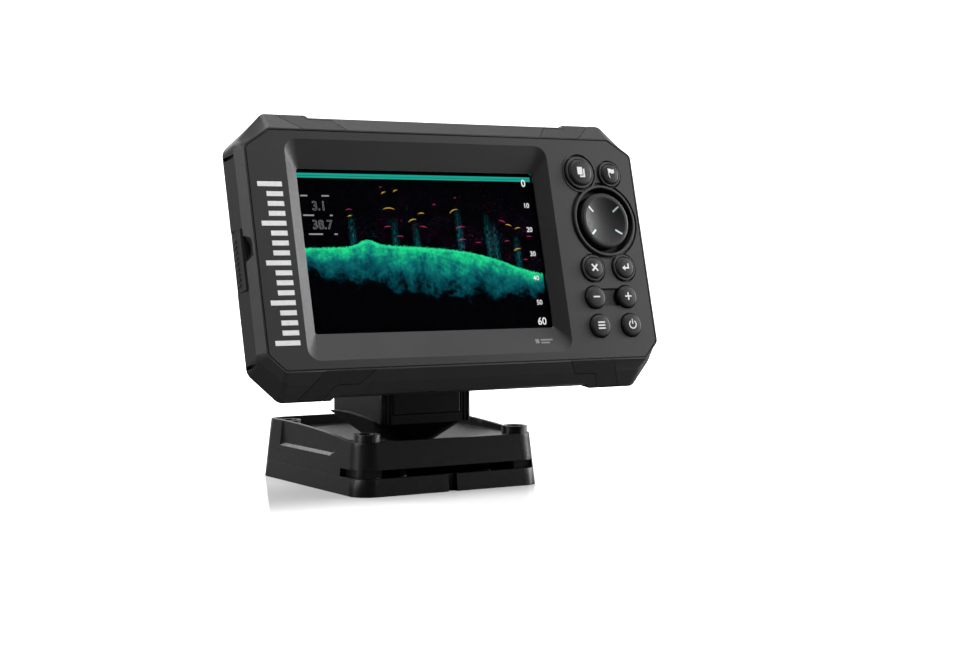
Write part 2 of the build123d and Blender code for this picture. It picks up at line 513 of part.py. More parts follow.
def make_neck():
    column = profile_x([
        (NECK_FRONT_Y, 22), (NECK_FRONT_Y, 40), (-7, 46.6), (AXIS_Y - EAR_R, 50),
        (AXIS_Y - EAR_R, AXIS_Z), (AXIS_Y + EAR_R, AXIS_Z), (NECK_BACK_Y, 42), (NECK_BACK_Y, 22)],
        -NECK_HALF_X, NECK_HALF_X)
    column += rod_x(EAR_R, -NECK_HALF_X, NECK_HALF_X, AXIS_Y, AXIS_Z)
    upright = column.edges().filter_by(Axis.Z).group_by(Axis.Y)
    column = fillet(upright[0] + upright[-1], 1.6)
    foot = loft([Plane.XY.offset(30) * RectangleRounded(50, 51, 7),
                 Plane.XY.offset(BOWL_Z) * RectangleRounded(24.5, 25.5, 11)], ruled=True)
    foot = Pos(0, -1.5, 0) * foot
    line = ledge_line()
    below = make_face(line + Polyline(line @ 1, (NECK_FRONT_Y - 3, 0), (NECK_BACK_Y + 3, 0), line @ 0))
    foot = foot & extrude(Plane.YZ.offset(-40) * below, 80)
    above = make_face(line + Polyline(line @ 1, (NECK_FRONT_Y - 3, 90), (NECK_BACK_Y + 3, 90), line @ 0))
    column = column & extrude(Plane.YZ.offset(-40) * above, 80)
    body = foot + column + rod_z(12.0, BOWL_Z, BOWL_Z + 4)
    body += rod_z(SPINDLE_R, 5.1, BOWL_Z + 2)
    # slot between the ears for the cradle's barrel
    slot = block(-EAR_SLOT_HALF, EAR_SLOT_HALF, -40, AXIS_Y, AXIS_Z - 8.7, 90)
    slot += rod_x(EAR_R + 0.3, -EAR_SLOT_HALF, EAR_SLOT_HALF, AXIS_Y, AXIS_Z)
    slot += block(-EAR_SLOT_HALF, EAR_SLOT_HALF, AXIS_Y, 40, AXIS_Z, 90)
    body -= slot
    # seats for the covers, hollow column, flutes beside the front cover
    body -= block(-16.2, 16.2, -30, NECK_FRONT_Y + 2.4, 29.6, 60)
    body -= block(-14, 14, 12, 40, 31.0, 60.5)
    body -= block(-13, 13, -17, 9, 24, 43)
    for x in (17.4, 19.2):
        body -= both_sides(rod_z(0.55, 20, 44, x, NECK_FRONT_Y))
    # pivot bolt with a round head on the left and a nut on the right
    body -= rod_x(TILT_BOLT_R + 0.02, -30, 30, AXIS_Y, AXIS_Z)
    body -= rod_x(5.0, -30, -18.2, AXIS_Y, AXIS_Z)
    nut_seat = extrude(RegularPolygon(4.75, 6), 12)
    body -= Pos(17.7, AXIS_Y, AXIS_Z) * Rot(0, 90, 0) * nut_seat
    return body - rod_z(1.9, 0, 17)


nodes["neck_body"] = make_neck()
front_cover = block(-16.0, 16.0, NECK_FRONT_Y - 0.3, NECK_FRONT_Y + 2.3, 29.8, 39.8)
front_cover = chamfer(front_cover.edges().filter_by(Axis.Z).group_by(Axis.Y)[0], 0.6)
nodes["neck_front_cover"] = front_cover
rear_cover = profile_x([(12.2, 31.2), (24.0, 31.2), (24.0, 40.0), (20.0, 50.0), (17.6, 58.0), (12.2, 58.0)],
                       -13.8, 13.8)
rear_cover -= profile_x([(10, 33.2), (21.8, 33.2), (21.8, 39.4), (17.9, 49.4), (15.6, 56.0), (10, 56.0)],
                        -11.6, 11.6)
rear_cover = fillet(rear_cover.edges().filter_by(Axis.Z).group_by(Axis.Y)[-1], 1.5)
nodes["neck_rear_cover"] = rear_cover

# ---- tilt pivot hardware
bolt = rod_x(TILT_BOLT_R, -18.2, 19.6, AXIS_Y, AXIS_Z)
bolt += rod_x(4.7, -20.9, -18.2, AXIS_Y, AXIS_Z)
bolt -= Pos(-20.9, AXIS_Y, AXIS_Z) * Rot(0, 90, 0) * extrude(RegularPolygon(2.3, 6), 1.5, both=True)
nodes["tilt_bolt"] = bolt
nut = Pos(17.8, AXIS_Y, AXIS_Z) * Rot(0, 90, 0) * extrude(RegularPolygon(4.6, 6), 3.0)
nodes["tilt_nut"] = nut - rod_x(TILT_BOLT_R + 0.02, 10, 30, AXIS_Y, AXIS_Z)
washer = rod_x(7.4, BARREL_HALF + 0.1, EAR_SLOT_HALF - 0.1, AXIS_Y, AXIS_Z)
washer -= rod_x(TILT_BOLT_R + 0.05, 0, 30, AXIS_Y, AXIS_Z)
nodes["friction_washers"] = Compound(children=[washer, mirror(washer, Plane.YZ)])

# ---- swivel bearing stack
nodes["swivel_washer"] = rod_z(14.0, 3.5, 5.05) - rod_z(2.0, 0, 10)
nodes["swivel_spring"] = rod_z(13.5, 5.1, 6.2) - rod_z(10.6, 0, 10)
nodes["swivel_screw"] = Pos(0, 0, 3.45) * Rot(180, 0, 0) * screw(1.85, 13.0, 4.0, 2.6)
nodes["swivel_bearing"] = rod_z(14.0, 16.0, 17.2) - rod_z(10.5, 0, 30)


# ---- base
def base_outline(z, wall=0.0):
    loss = DRAFT * z + wall
    length = BASE_BACK_Y - BASE_FRONT_Y - 2 * loss
    outline = RectangleRounded(2 * (BASE_HALF_X - loss), length, BASE_CORNER_R - wall)
    return Pos(0, (BASE_FRONT_Y + BASE_BACK_Y) / 2, z) * outline


def base_block(z0, z1, wall=0.0):
    return loft([base_outline(z0, wall), base_outline(z1, wall)], ruled=True)


MOUNT_PLACES = [(sx * MOUNT_X, sy * MOUNT_Y) for sx in (-1, 1) for sy in (-1, 1)]
COVER_SCREWS = [(sx * 20, sy * 33) for sx in (-1, 1) for sy in (-1, 1)]


def make_base_plate():
    body = base_block(0, PLATE_TOP) - base_block(3.0, PLATE_TOP + 1, BASE_WALL)
    body += rod_z(17.5, 0, 8.0) + rod_z(11.9, 0, 16.0)
    body -= rod_z(16.0, -1, 6.3) + rod_z(SPINDLE_R + 0.05, 0, 20)
    for x, y in MOUNT_PLACES:
        body += rod_z(5.0, 0, PLATE_TOP, x, y) & base_block(0, PLATE_TOP)
    for x, y in COVER_SCREWS:
        body += rod_z(4.4, 0, PLATE_TOP, x, y)
        body -= rod_z(1.75, -1, 20, x, y) + rod_z(3.4, -1, 2.6, x, y)
    for x, y in MOUNT_PLACES:
        body -= rod_z(MOUNT_HOLE_R, -1, 20, x, y)
    return body - block(-2, 2, -46, -41.6, -1, 8)


def make_base_cover():
    body = base_block(COVER_FOOT, 27.0)
    rim = ThreePointArc((50, 24.6), (3, 23.9), (-31, 21.3))
    above = make_face(rim + Polyline(rim @ 1, (-50, 21.3), (-50, 40), (50, 40), rim @ 0))
    body -= extrude(Plane.YZ.offset(-50) * above, 100)
    body -= base_block(DECK_Z, 28, 2.2)
    for x, y in MOUNT_PLACES:
        body += rod_z(BOSS_R, DECK_Z - 3, BOSS_TOP_Z, x, y)
    body -= lathe([(0, DISH_INNER_Z), (DISH_INNER_R, DISH_INNER_Z), (DISH_R, DECK_Z), (DISH_R, 30), (0, 30)])
    # hollow underside, following the dish
    hollow = base_block(COVER_FOOT - 1, DECK_Z - WALL, BASE_WALL)
    hollow -= lathe([(0, 12.4), (DISH_INNER_R, 12.6), (DISH_R, DECK_Z - WALL), (70, DECK_Z - WALL),
                     (70, 40), (0, 40)])
    for x, y in MOUNT_PLACES:
        hollow -= rod_z(6.0, 0, 30, x, y)
    for x, y in COVER_SCREWS:
        hollow -= rod_z(4.0, 0, 30, x, y)
    hollow -= rod_z(DISH_INNER_R, 8.2, 30)
    body -= hollow
    body -= rod_z(12.2, 0, 20)
    for x, y in MOUNT_PLACES:
        body -= rod_z(MOUNT_HOLE_R, 0, 40, x, y) + rod_z(POCKET_R, DECK_Z - 3.4, 40, x, y)
    for x, y in COVER_SCREWS:
        body -= rod_z(1.5, 0, 14, x, y)
    # shadow gap along the front and round the corners, past a narrow pillar at each
    body -= block(-39.4, 39.4, -48, -40.4, 0, 10.4)
    body -= both_sides(block(39.8, 48, -39, -27, 0, 10.4))
    # grip recess in each side, with a sloped ledge along the bottom and a step at the rear
    outline = Polyline((28, 15.5), (28, 30), (-30, 30), (-20, 16.6), (-17, 15.5), close=True)
    grip = extrude(Plane.YZ.offset(40.6) * make_face(outline), 2.6, taper=-45)
    body -= both_sides(grip)
    return body


nodes["base_plate"] = make_base_plate()
nodes["base_cover"] = make_base_cover()
nodes["cover_screws"] = Compound(children=[
    Pos(x, y, 2.55) * Rot(180, 0, 0) * screw(1.45, 9.5, 3.0, 1.8) for x, y in COVER_SCREWS])

for name, shape in nodes.items():
    export_step(shape, f"parts/{name}.step")
print(len(nodes), "nodes")
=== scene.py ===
"""Fish finder: finishes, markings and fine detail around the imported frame, with its floor, lights, camera."""
import json
import math

import bmesh
import bpy
from mathutils import Matrix, Vector


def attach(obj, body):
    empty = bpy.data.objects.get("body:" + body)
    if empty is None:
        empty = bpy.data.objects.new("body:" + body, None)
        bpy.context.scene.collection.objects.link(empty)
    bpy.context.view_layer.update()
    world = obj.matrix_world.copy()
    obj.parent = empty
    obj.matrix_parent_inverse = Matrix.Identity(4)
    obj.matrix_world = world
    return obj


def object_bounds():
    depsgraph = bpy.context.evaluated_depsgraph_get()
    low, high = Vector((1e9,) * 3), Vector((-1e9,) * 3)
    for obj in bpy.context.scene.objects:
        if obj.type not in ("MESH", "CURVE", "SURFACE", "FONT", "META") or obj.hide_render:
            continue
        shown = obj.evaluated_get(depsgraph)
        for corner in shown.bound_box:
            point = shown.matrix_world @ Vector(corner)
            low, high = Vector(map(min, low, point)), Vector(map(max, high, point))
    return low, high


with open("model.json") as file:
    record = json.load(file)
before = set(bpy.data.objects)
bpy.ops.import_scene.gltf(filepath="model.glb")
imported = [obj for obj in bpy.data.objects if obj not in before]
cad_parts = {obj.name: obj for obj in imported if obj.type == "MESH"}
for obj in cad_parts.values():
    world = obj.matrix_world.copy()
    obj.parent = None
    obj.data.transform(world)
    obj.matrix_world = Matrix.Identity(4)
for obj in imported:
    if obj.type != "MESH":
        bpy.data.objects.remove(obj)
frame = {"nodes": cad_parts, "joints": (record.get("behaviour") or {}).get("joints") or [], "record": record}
cad_low, cad_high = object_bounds()
scene = bpy.context.scene
MM = 0.001

# ---- the head's own frame: X right, Y back from the screen plane, Z up, origin in the screen plane
JOINTS = {joint["name"]: joint for joint in frame["joints"]}
PIVOT_IN_HEAD = Vector((0, 56, -14)) * MM
SCREEN_X = -13.0 * MM
SCREEN_W, SCREEN_H = 108.0 * MM, 64.8 * MM
FACE_Y = -3.65 * MM


def head_frame():
    """Matrix from the head's frame to the part's, from the tilt axis and the way the keys travel."""
    right = Vector((1, 0, 0))
    back = Vector(JOINTS["power_press"]["axis"]).normalized()
    up = right.cross(back)
    turn = Matrix((right, back, up)).transposed()
    origin = Vector(JOINTS["tilt"]["pos_m"]) - turn @ PIVOT_IN_HEAD
    return Matrix.Translation(origin) @ turn.to_4x4()


HEAD = head_frame()
HEAD_BACK = HEAD.inverted()


def in_head(node):
    """Middle of a CAD node's extent in the head's frame."""
    corners = [HEAD_BACK @ corner.co for corner in frame["nodes"][node].data.vertices]
    return Vector([(min(values) + max(values)) / 2 for values in zip(*corners)])


# ---- materials
WEAR_RADIUS = 0.3 * MM           # width of the rubbed band along an edge
FLAT_DOT, EDGE_DOT = 0.99, 0.80  # cosine of the softened normal's turn where the band starts and is full
LOW, HIGH = 0.3, 0.7             # the range that nearly all of a noise texture falls in


class Shader:
    """A node material under construction. Its textures use the object's own coordinates, in metres."""

    def __init__(self, name):
        self.material = bpy.data.materials.new(name)
        self.material.use_nodes = True
        self.tree = self.material.node_tree
        self.bsdf = self.tree.nodes["Principled BSDF"]
        self.place = self.add("ShaderNodeTexCoord").outputs["Object"]

    def add(self, kind, **settings):
        node = self.tree.nodes.new(kind)
        for key, value in settings.items():
            setattr(node, key, value)
        return node

    def feed(self, socket, value):
        """Link a socket or set a plain value."""
        if isinstance(value, bpy.types.NodeSocket):
            self.tree.links.new(value, socket)
        else:
            socket.default_value = value

    def noise(self, scale, detail=3.0, roughness=0.55, stretch=None):
        where = self.place
        if stretch:
            mapping = self.add("ShaderNodeMapping")
            self.feed(mapping.inputs["Vector"], self.place)
            mapping.inputs["Scale"].default_value = stretch
            where = mapping.outputs["Vector"]
        node = self.add("ShaderNodeTexNoise")
        self.feed(node.inputs["Vector"], where)
        node.inputs["Scale"].default_value = scale
        node.inputs["Detail"].default_value = detail
        node.inputs["Roughness"].default_value = roughness
        return node.outputs["Fac"]

    def maths(self, operation, first, second=0.0):
        node = self.add("ShaderNodeMath", operation=operation)
        self.feed(node.inputs[0], first)
        self.feed(node.inputs[1], second)
        return node.outputs[0]

    def remap(self, value, low, high, to_low, to_high, smooth=False):
        node = self.add("ShaderNodeMapRange", interpolation_type="SMOOTHSTEP" if smooth else "LINEAR")
        for socket, number in zip(node.inputs, (value, low, high, to_low, to_high)):
            self.feed(socket, number)
        return node.outputs[0]

    def mix(self, factor, first, second):
        node = self.add("ShaderNodeMix", data_type="RGBA")
        self.feed(node.inputs["Factor"], factor)
        for socket, colour in ((node.inputs[6], first), (node.inputs[7], second)):
            self.feed(socket, colour if isinstance(colour, bpy.types.NodeSocket) else (*colour, 1.0))
        return node.outputs[2]

    def curve(self, value, points):
        """Smooth curve through (position, value) points, both from 0 to 1."""
        node = self.add("ShaderNodeFloatCurve")
        line = node.mapping.curves[0]
        line.points[0].location, line.points[-1].location = points[0], points[-1]
        for point in points[1:-1]:
            line.points.new(*point)
        node.mapping.update()
        self.feed(node.inputs["Value"], value)
        return node.outputs["Value"]

    def ramp(self, value, stops):
        """Colour ramp through (position, colour) stops."""
        node = self.add("ShaderNodeValToRGB")
        elements = node.color_ramp.elements
        for index, (position, colour) in enumerate(stops):
            element = elements[index] if index < 2 else elements.new(position)
            element.position, element.color = position, (*colour, 1.0)
        self.feed(node.inputs["Fac"], value)
        return node.outputs["Color"]

    def bump(self, height, distance, strength):
        node = self.add("ShaderNodeBump")
        self.feed(node.inputs["Height"], height)
        node.inputs["Distance"].default_value = distance
        node.inputs["Strength"].default_value = strength
        return node.outputs["Normal"]

    def edges(self):
        """Mask that is 1 along convex and concave edges and 0 on the flats."""
        bevel = self.add("ShaderNodeBevel", samples=4)
        bevel.inputs["Radius"].default_value = WEAR_RADIUS
        flat = self.add("ShaderNodeNewGeometry")
        dot = self.add("ShaderNodeVectorMath", operation="DOT_PRODUCT")
        self.feed(dot.inputs[0], bevel.outputs["Normal"])
        self.feed(dot.inputs[1], flat.outputs["Normal"])
        return self.remap(dot.outputs["Value"], FLAT_DOT, EDGE_DOT, 0.0, 1.0)

    def use(self, **inputs):
        for key, value in inputs.items():
            self.feed(self.bsdf.inputs[key.replace("_", " ")], value)
        return self.material


def tint(colour, factor):
    return tuple(min(1.0, channel * factor) for channel in colour)


GRAIN_SCALE = 2600
MOTTLE = 0.16
RUB_SHINE = 0.10
INK_ROUGH = 0.5


def moulding(name, colour, rough, grain=0.03, wear=0.3, gloss=0.35):
    """Moulded plastic or rubber: fine spark texture, faint flow mottling and rubbed, slightly shinier edges.

    Grain is the depth of the texture in millimetres, wear is how far the edges lighten, and gloss is the
    specular level.
    """
    s = Shader(name)
    cloud = s.noise(38, 4)
    speck = s.noise(GRAIN_SCALE, 2)
    s.bsdf.inputs["Specular IOR Level"].default_value = gloss
    shade = s.mix(s.remap(cloud, LOW, HIGH, 0, 1), tint(colour, 1 - MOTTLE), tint(colour, 1 + MOTTLE))
    shade = s.mix(s.remap(speck, 0.35, 0.75, 0, 0.35), shade, tint(colour, 1.5))
    rub = s.maths("MULTIPLY", s.edges(), s.remap(s.noise(190, 4), 0.35, 0.65, 0.15, 1.0))
    shade = s.mix(s.maths("MULTIPLY", rub, wear), shade, tint(colour, 3.2))
    roughness = s.remap(s.noise(900, 3), LOW, HIGH, rough - 0.05, rough + 0.05)
    roughness = s.maths("SUBTRACT", roughness, s.maths("MULTIPLY", rub, RUB_SHINE))
    return s.use(Base_Color=shade, Roughness=roughness, Normal=s.bump(speck, grain * MM, 0.7))


def metal(name, colour, rough):
    """Metal with fine drawn or stamped streaks and faint staining."""
    s = Shader(name)
    lines = s.noise(500, 3, stretch=(1, 1, 12))
    stain = s.noise(60, 4)
    shade = s.mix(s.remap(stain, LOW, HIGH, 0, 1), tint(colour, 0.82), tint(colour, 1.08))
    roughness = s.remap(lines, LOW, HIGH, rough - 0.07, rough + 0.10)
    return s.use(Base_Color=shade, Metallic=1.0, Roughness=roughness, Normal=s.bump(lines, 0.01 * MM, 0.5))


def circuit(name):
    """Solder mask with a layer of tracks under it."""
    s = Shader(name)
    cells = s.add("ShaderNodeTexVoronoi", feature="DISTANCE_TO_EDGE", distance="MANHATTAN")
    s.feed(cells.inputs["Vector"], s.place)
    cells.inputs["Scale"].default_value = 420
    tracks = s.remap(cells.outputs["Distance"], 0.04, 0.08, 1, 0)
    shade = s.mix(tracks, (0.012, 0.085, 0.035), (0.03, 0.19, 0.075))
    shade = s.mix(s.remap(s.noise(70), 0.35, 0.7, 0, 0.5), shade, (0.008, 0.05, 0.022))
    return s.use(Base_Color=shade, Roughness=s.remap(s.noise(900), LOW, HIGH, 0.25, 0.4),
                 Normal=s.bump(tracks, 0.03 * MM, 0.6))


def cover_glass():
    """Clear coated glass with a faint smear of fingerprints. Its coating leaves next to no reflection."""
    s = Shader("cover_glass")
    smear = s.remap(s.noise(45, 5), 0.45, 0.8, 0.01, 0.05)
    shade = s.mix(s.noise(20, 2), (0.96, 0.97, 0.97), (0.98, 0.99, 0.99))
    s.bsdf.inputs["Transmission Weight"].default_value = 1.0
    s.bsdf.inputs["IOR"].default_value = 1.10
    s.bsdf.inputs["Specular IOR Level"].default_value = 0.03
    return s.use(Base_Color=shade, Roughness=smear)


def glow(name, colour, spread=0.12):
    """Lit marking on the screen: a nearly even colour with a slight grain."""
    s = Shader(name)
    grain = s.noise(900, 2)
    shade = s.mix(s.remap(grain, LOW, HIGH, 0, 1), tint(colour, 1 - spread), tint(colour, 1 + spread))
    s.bsdf.inputs["Emission Strength"].default_value = 1.0
    s.bsdf.inputs["Specular IOR Level"].default_value = 0.0
    return s.use(Base_Color=s.mix(0.9, shade, (0.002, 0.002, 0.002)), Emission_Color=shade,
                 Roughness=s.remap(grain, LOW, HIGH, 0.5, 0.6))


def ink_and_painted_shade(name, colour):
    """Printed marking with a slightly uneven coat; the same coat also gives the pad's dimples their painted
    shade.
    """
    s = Shader(name)
    coat = s.noise(700, 4)
    shade = s.mix(s.remap(coat, LOW, HIGH, 0, 1), tint(colour, 0.92), tint(colour, 1.03))
    return s.use(Base_Color=shade, Roughness=s.remap(coat, LOW, HIGH, INK_ROUGH - 0.06, INK_ROUGH + 0.08),
                 Normal=s.bump(coat, 0.008 * MM, 0.4))


# The sonar picture, as (across, up) points of the screen from its lower left corner
SEABED = [(0.0, 0.528), (0.12, 0.530), (0.20, 0.540), (0.265, 0.575), (0.32, 0.548), (0.45, 0.533),
          (0.60, 0.515), (0.70, 0.492), (0.80, 0.452), (0.90, 0.395), (1.0, 0.355)]
# How far down the seabed's colour reaches, as (across, share of the screen's height)
SEABED_DEPTH = [(0.0, 0.14), (0.3, 0.24), (0.6, 0.27), (0.75, 0.24), (1.0, 0.12)]
# Columns of echoes, as (across, up) of their tops
ECHO_COLUMNS = [(0.207, 0.75), (0.38, 0.72), (0.469, 0.70), (0.655, 0.79), (0.778, 0.76), (0.806, 0.70),
                (0.90, 0.62)]
COLUMN_HALF, COLUMN_FADE = 0.018, 0.16
SURFACE_LINES = [(0.957, 0.967), (0.971, 0.984)]
LINE_BLUR = 0.002
DEEP_WATER = (0.0004, 0.0004, 0.0008)


def sonar_picture():
    """Picture on the screen: surface lines, echoes in black water and a green seabed that fades downwards."""
    s = Shader("sonar_picture")
    parts = s.add("ShaderNodeSeparateXYZ")
    s.feed(parts.inputs[0], s.place)
    across = s.remap(parts.outputs["X"], -SCREEN_W / 2, SCREEN_W / 2, 0, 1)
    up = s.remap(parts.outputs["Z"], -SCREEN_H / 2, SCREEN_H / 2, 0, 1)
    fuzz = s.remap(s.noise(1300, 4, 0.7), LOW, HIGH, -0.010, 0.010)
    top = s.maths("ADD", s.curve(across, SEABED), fuzz)
    below = s.maths("SUBTRACT", top, up)
    depth = s.maths("DIVIDE", below, s.curve(across, SEABED_DEPTH))
    cloud = s.remap(s.noise(150, 6, 0.65), LOW, HIGH, -0.34, 0.34)
    fine = s.remap(s.noise(700, 4, 0.7), LOW, HIGH, -0.16, 0.16)
    layer = s.maths("ADD", depth, s.maths("ADD", cloud, fine))
    ground = s.ramp(layer, [(0.0, (0.014, 0.62, 0.24)), (1.0, (0.0, 0.012, 0.018)),
                            (0.12, (0.010, 0.45, 0.20)), (0.28, (0.005, 0.25, 0.17)),
                            (0.50, (0.003, 0.12, 0.125)), (0.78, (0.001, 0.05, 0.066))])
    crust = s.remap(below, 0.0, 0.022, 1, 0)
    ground = s.mix(s.maths("MULTIPLY", crust, 0.8), ground, (0.02, 0.78, 0.30))
    inside = s.remap(below, 0.0, 0.004, 0, 1)
    whole = s.remap(layer, 0.90, 1.12, 1, 0, smooth=True)
    # echoes in the water: short dashes of magenta, and blue-green columns over some spots
    dashes = s.noise(2600, 2, stretch=(0.35, 1, 1.2))
    hue = s.noise(240, 2)
    dash_colour = s.ramp(hue, [(0.38, (0.25, 0.012, 0.09)), (0.66, (0.012, 0.12, 0.16)),
                               (0.52, (0.06, 0.012, 0.13))])
    clumps = s.remap(s.noise(95, 3), 0.44, 0.62, 0, 1)
    water_top = s.remap(up, 0.62, 0.90, 1, 0)
    seen = s.maths("MULTIPLY", s.remap(dashes, 0.60, 0.68, 0, 1), s.maths("MULTIPLY", clumps, water_top))
    right_part = s.remap(across, 0.12, 0.30, 0, 1)
    picture = s.mix(s.maths("MULTIPLY", seen, right_part), DEEP_WATER, dash_colour)
    streaks = s.remap(s.noise(1500, 3, 0.7, stretch=(1.6, 1, 0.45)), 0.47, 0.66, 0, 1)
    for place, reach in ECHO_COLUMNS:
        away = s.maths("ABSOLUTE", s.maths("SUBTRACT", across, place))
        column = s.maths("MULTIPLY", s.remap(away, 0.0, COLUMN_HALF, 1, 0),
                         s.remap(up, reach - COLUMN_FADE, reach, 1, 0))
        picture = s.mix(s.maths("MULTIPLY", column, streaks), picture, (0.004, 0.19, 0.22))
    picture = s.mix(inside, picture, DEEP_WATER)
    picture = s.mix(s.maths("MULTIPLY", inside, whole), picture, ground)
    for low, high in SURFACE_LINES:
        line = s.maths("MULTIPLY", s.remap(up, low - LINE_BLUR, low, 0, 1),
                       s.remap(up, high, high + LINE_BLUR, 1, 0))
        picture = s.mix(line, picture, (0.010, 0.36, 0.27))
    s.bsdf.inputs["Emission Strength"].default_value = 1.0
    s.bsdf.inputs["Specular IOR Level"].default_value = 0.0
    return s.use(Base_Color=s.mix(0.9, picture, (0.001, 0.001, 0.001)), Emission_Color=picture,
                 Roughness=s.remap(fuzz, -0.01, 0.01, 0.45, 0.6))


def natural(name, colour, rough, spread=0.08):
    """Plain light-coloured moulded or pressed material."""
    s = Shader(name)
    cloud = s.noise(160, 4)
    shade = s.mix(s.remap(cloud, LOW, HIGH, 0, 1), tint(colour, 1 - spread), tint(colour, 1 + spread))
    return s.use(Base_Color=shade, Roughness=s.remap(cloud, LOW, HIGH, rough - 0.06, rough + 0.06),
                 Normal=s.bump(s.noise(1800), 0.01 * MM, 0.5))


FINISHES = {
    "bezel_plastic": lambda: moulding("bezel_plastic", (0.0165, 0.0165, 0.0175), 0.50),
    "housing_plastic": lambda: moulding("housing_plastic", (0.0125, 0.0125, 0.0135), 0.52),
    "corner_rubber": lambda: moulding("corner_rubber", (0.0115, 0.0115, 0.0125), 0.58, wear=0.2),
    "key_rubber": lambda: moulding("key_rubber", (0.007, 0.007, 0.0076), 0.50, grain=0.012, wear=0.15,
                                   gloss=0.28),
    "bridge_plastic": lambda: moulding("bridge_plastic", (0.008, 0.008, 0.0084), 0.42, wear=0.4),
    "door_rubber": lambda: moulding("door_rubber", (0.008, 0.008, 0.0085), 0.60, wear=0.15),
    "base_plastic": lambda: moulding("base_plastic", (0.0026, 0.0026, 0.0028), 0.42, grain=0.015, gloss=0.28),
    "neck_plastic": lambda: moulding("neck_plastic", (0.0024, 0.0024, 0.0026), 0.40, grain=0.015, gloss=0.28),
    "cradle_plastic": lambda: moulding("cradle_plastic", (0.009, 0.009, 0.0095), 0.50, grain=0.05),
    "screen_glass": cover_glass,
    "lcd_glass": lambda: moulding("lcd_glass", (0.002, 0.002, 0.0025), 0.4, grain=0.002, wear=0.0, gloss=0.0),
    "diffuser": lambda: natural("diffuser", (0.72, 0.73, 0.73), 0.45),
    "frame_alloy": lambda: metal("frame_alloy", (0.60, 0.61, 0.62), 0.38),
    "circuit_board": lambda: circuit("circuit_board"),
    "shield_steel": lambda: metal("shield_steel", (0.62, 0.62, 0.61), 0.30),
    "ceramic": lambda: natural("ceramic", (0.66, 0.61, 0.50), 0.5),
    "black_part": lambda: moulding("black_part", (0.012, 0.012, 0.012), 0.4),
    "flex_film": lambda: natural("flex_film", (0.50, 0.24, 0.05), 0.35, 0.15),
    "socket_plastic": lambda: moulding("socket_plastic", (0.008, 0.008, 0.0088), 0.42),
    "contact_brass": lambda: metal("contact_brass", (0.80, 0.60, 0.28), 0.25),
    "steel": lambda: metal("steel", (0.56, 0.56, 0.55), 0.32),
    "bearing_nylon": lambda: natural("bearing_nylon", (0.72, 0.71, 0.66), 0.5),
    "seal_rubber": lambda: moulding("seal_rubber", (0.02, 0.02, 0.02), 0.6, wear=0.1),
    "vent_film": lambda: natural("vent_film", (0.55, 0.55, 0.54), 0.7),
}
MATERIALS = {slot: make() for slot, make in FINISHES.items()}
SLOT_OF = {part["node"]: part["material_slot"] for part in frame["record"]["subparts"]}

# ---- edge rounding on the CAD nodes: radius in millimetres
WELD_GAP = 0.002 * MM
FLAT_ANGLE, ROUNDED_ANGLE = 0.4, 28
ROUNDING = {
    "front_bezel": 0.30, "rear_housing": 0.40, "base_cover": 0.45, "base_plate": 0.35, "neck_body": 0.40,
    "neck_front_cover": 0.25, "neck_rear_cover": 0.40, "tilt_cradle": 0.25, "release_lever": 0.30,
    "card_door": 0.25, "top_left_insert": 0.15, "top_right_insert": 0.15, "bottom_left_insert": 0.15,
    "bottom_right_insert": 0.15, "zoom_bridge": 0.12,
}


def soften(piece, radius):
    """Round a CAD node's edges with modifiers. Flats are joined first, so the bevel follows real edges."""
    weld = piece.modifiers.new("weld", "WELD")
    weld.merge_threshold = WELD_GAP
    flats = piece.modifiers.new("flats", "DECIMATE")
    flats.decimate_type = "DISSOLVE"
    flats.angle_limit = math.radians(FLAT_ANGLE)
    bevel = piece.modifiers.new("round", "BEVEL")
    bevel.width = radius * MM
    bevel.segments = 2
    bevel.limit_method = "ANGLE"
    bevel.angle_limit = math.radians(ROUNDED_ANGLE)
    bevel.use_clamp_overlap = True
    bevel.harden_normals = True


for name, node in frame["nodes"].items():
    node.data.materials.clear()
    node.data.materials.append(MATERIALS[SLOT_OF[name]])
    if name in ROUNDING:
        soften(node, ROUNDING[name])

# ---- thin markings, drawn as (x, z) outlines in millimetres in the head's frame
SAME_POINT = 0.001


def bar(x0, z0, x1, z1, width):
    """Straight bar between two points."""
    along = Vector((x1 - x0, z1 - z0)).normalized() * (width / 2)
    side = Vector((-along.y, along.x))
    return [(x0 + side.x, z0 + side.y), (x0 - side.x, z0 - side.y),
            (x1 - side.x, z1 - side.y), (x1 + side.x, z1 + side.y)]


def arc(radius, width, start, end, rise=1.0, taper=0.0, steps=20):
    """Quads of a band along an arc about the origin, between two angles in degrees from the x axis.

    Rise flattens the arc, and taper narrows the band towards its ends.
    """
    rings = []
    for i in range(steps + 1):
        turn = math.radians(start + (end - start) * i / steps)
        half = width / 2 * (1 - taper * abs(2 * i / steps - 1) ** 1.5)
        rings.append([(r * math.cos(turn), rise * r * math.sin(turn))
                      for r in (radius - half, radius + half)])
    return [[a[0], a[1], b[1], b[0]] for a, b in zip(rings, rings[1:])]


def strip(points, width):
    """Quads of a bar cut into short lengths, so that it can follow a curved surface."""
    return [bar(*first, *last, width) for first, last in zip(points, points[1:])]


def thicken(mesh, depth):
    """Turn a sheet of faces into a closed solid whose back lies a depth further along Y."""
    backs = bmesh.ops.extrude_face_region(mesh, geom=mesh.faces[:])
    for item in backs["geom"]:
        if isinstance(item, bmesh.types.BMVert):
            item.co.y += depth
    bmesh.ops.recalc_face_normals(mesh, faces=mesh.faces)


def mesh_object(name, mesh, material):
    """Object made from a bmesh, which is freed, in the scene."""
    data = bpy.data.meshes.new(name)
    mesh.to_mesh(data)
    mesh.free()
    data.materials.append(material)
    made = bpy.data.objects.new(name, data)
    scene.collection.objects.link(made)
    return made


